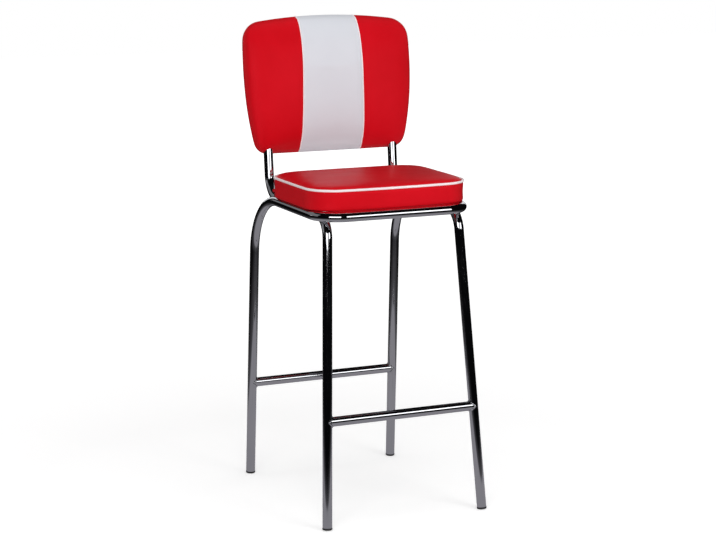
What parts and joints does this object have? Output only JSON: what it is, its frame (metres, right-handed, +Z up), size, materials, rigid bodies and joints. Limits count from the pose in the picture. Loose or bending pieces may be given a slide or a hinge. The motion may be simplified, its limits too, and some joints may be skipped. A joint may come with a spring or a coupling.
{
  "type": "diner counter stool",
  "caption": "Tall diner counter stool: bent chrome tube frame with footrest, square red vinyl pad with pale piping, and a low crowned red backrest with a white stripe",
  "frame": {"origin": "on the floor, under the middle of the stool's overall size", "axes": "+Z up; the stool faces -Y, so the backrest is at +Y; +X to the right as seen from the front"},
  "size_m": [0.4302, 0.5143, 1.1153],
  "materials": {
    "chrome_tube": "bright chrome plate on steel tube",
    "zinc_hardware": "bright zinc plate on screws, washers and nuts",
    "glide_black": "satin black moulded plastic",
    "red_vinyl": "glossy red vinyl with a fine grain",
    "white_vinyl": "glossy white vinyl with a fine grain",
    "piping_vinyl": "pale pinkish white vinyl cord",
    "foam": "polyurethane foam",
    "plywood": "bare plywood",
    "dust_cloth": "black non-woven cloth"
  },
  "bodies": {
    "root": {"seat_frame_tube": "chrome_tube", "left_leg_back_tube": "chrome_tube", "right_leg_back_tube": "chrome_tube", "front_footrest_tube": "chrome_tube", "footrest_welds": "chrome_tube", "rear_stretcher_tube": "chrome_tube", "rear_stretcher_welds": "chrome_tube", "side_rail_welds": "chrome_tube", "front_seat_strap": "chrome_tube", "rear_seat_strap": "chrome_tube", "seat_strap_welds": "chrome_tube", "front_left_glide": "glide_black", "front_right_glide": "glide_black", "rear_left_glide": "glide_black", "rear_right_glide": "glide_black", "seat_board": "plywood", "seat_foam": "foam", "seat_top_cover": "red_vinyl", "seat_boxing": "red_vinyl", "seat_piping": "piping_vinyl", "seat_dust_cover": "dust_cloth", "seat_washers": "zinc_hardware", "seat_screws": "zinc_hardware", "seat_tee_nuts": "zinc_hardware", "backrest_board": "plywood", "backrest_foam": "foam", "backrest_screws": "zinc_hardware", "backrest_tee_nuts": "zinc_hardware", "back_left_panel": "red_vinyl", "back_centre_panel": "white_vinyl", "back_right_panel": "red_vinyl", "back_left_welt": "piping_vinyl", "back_right_welt": "piping_vinyl", "back_rear_cover": "red_vinyl"}
  },
  "joints": []
}
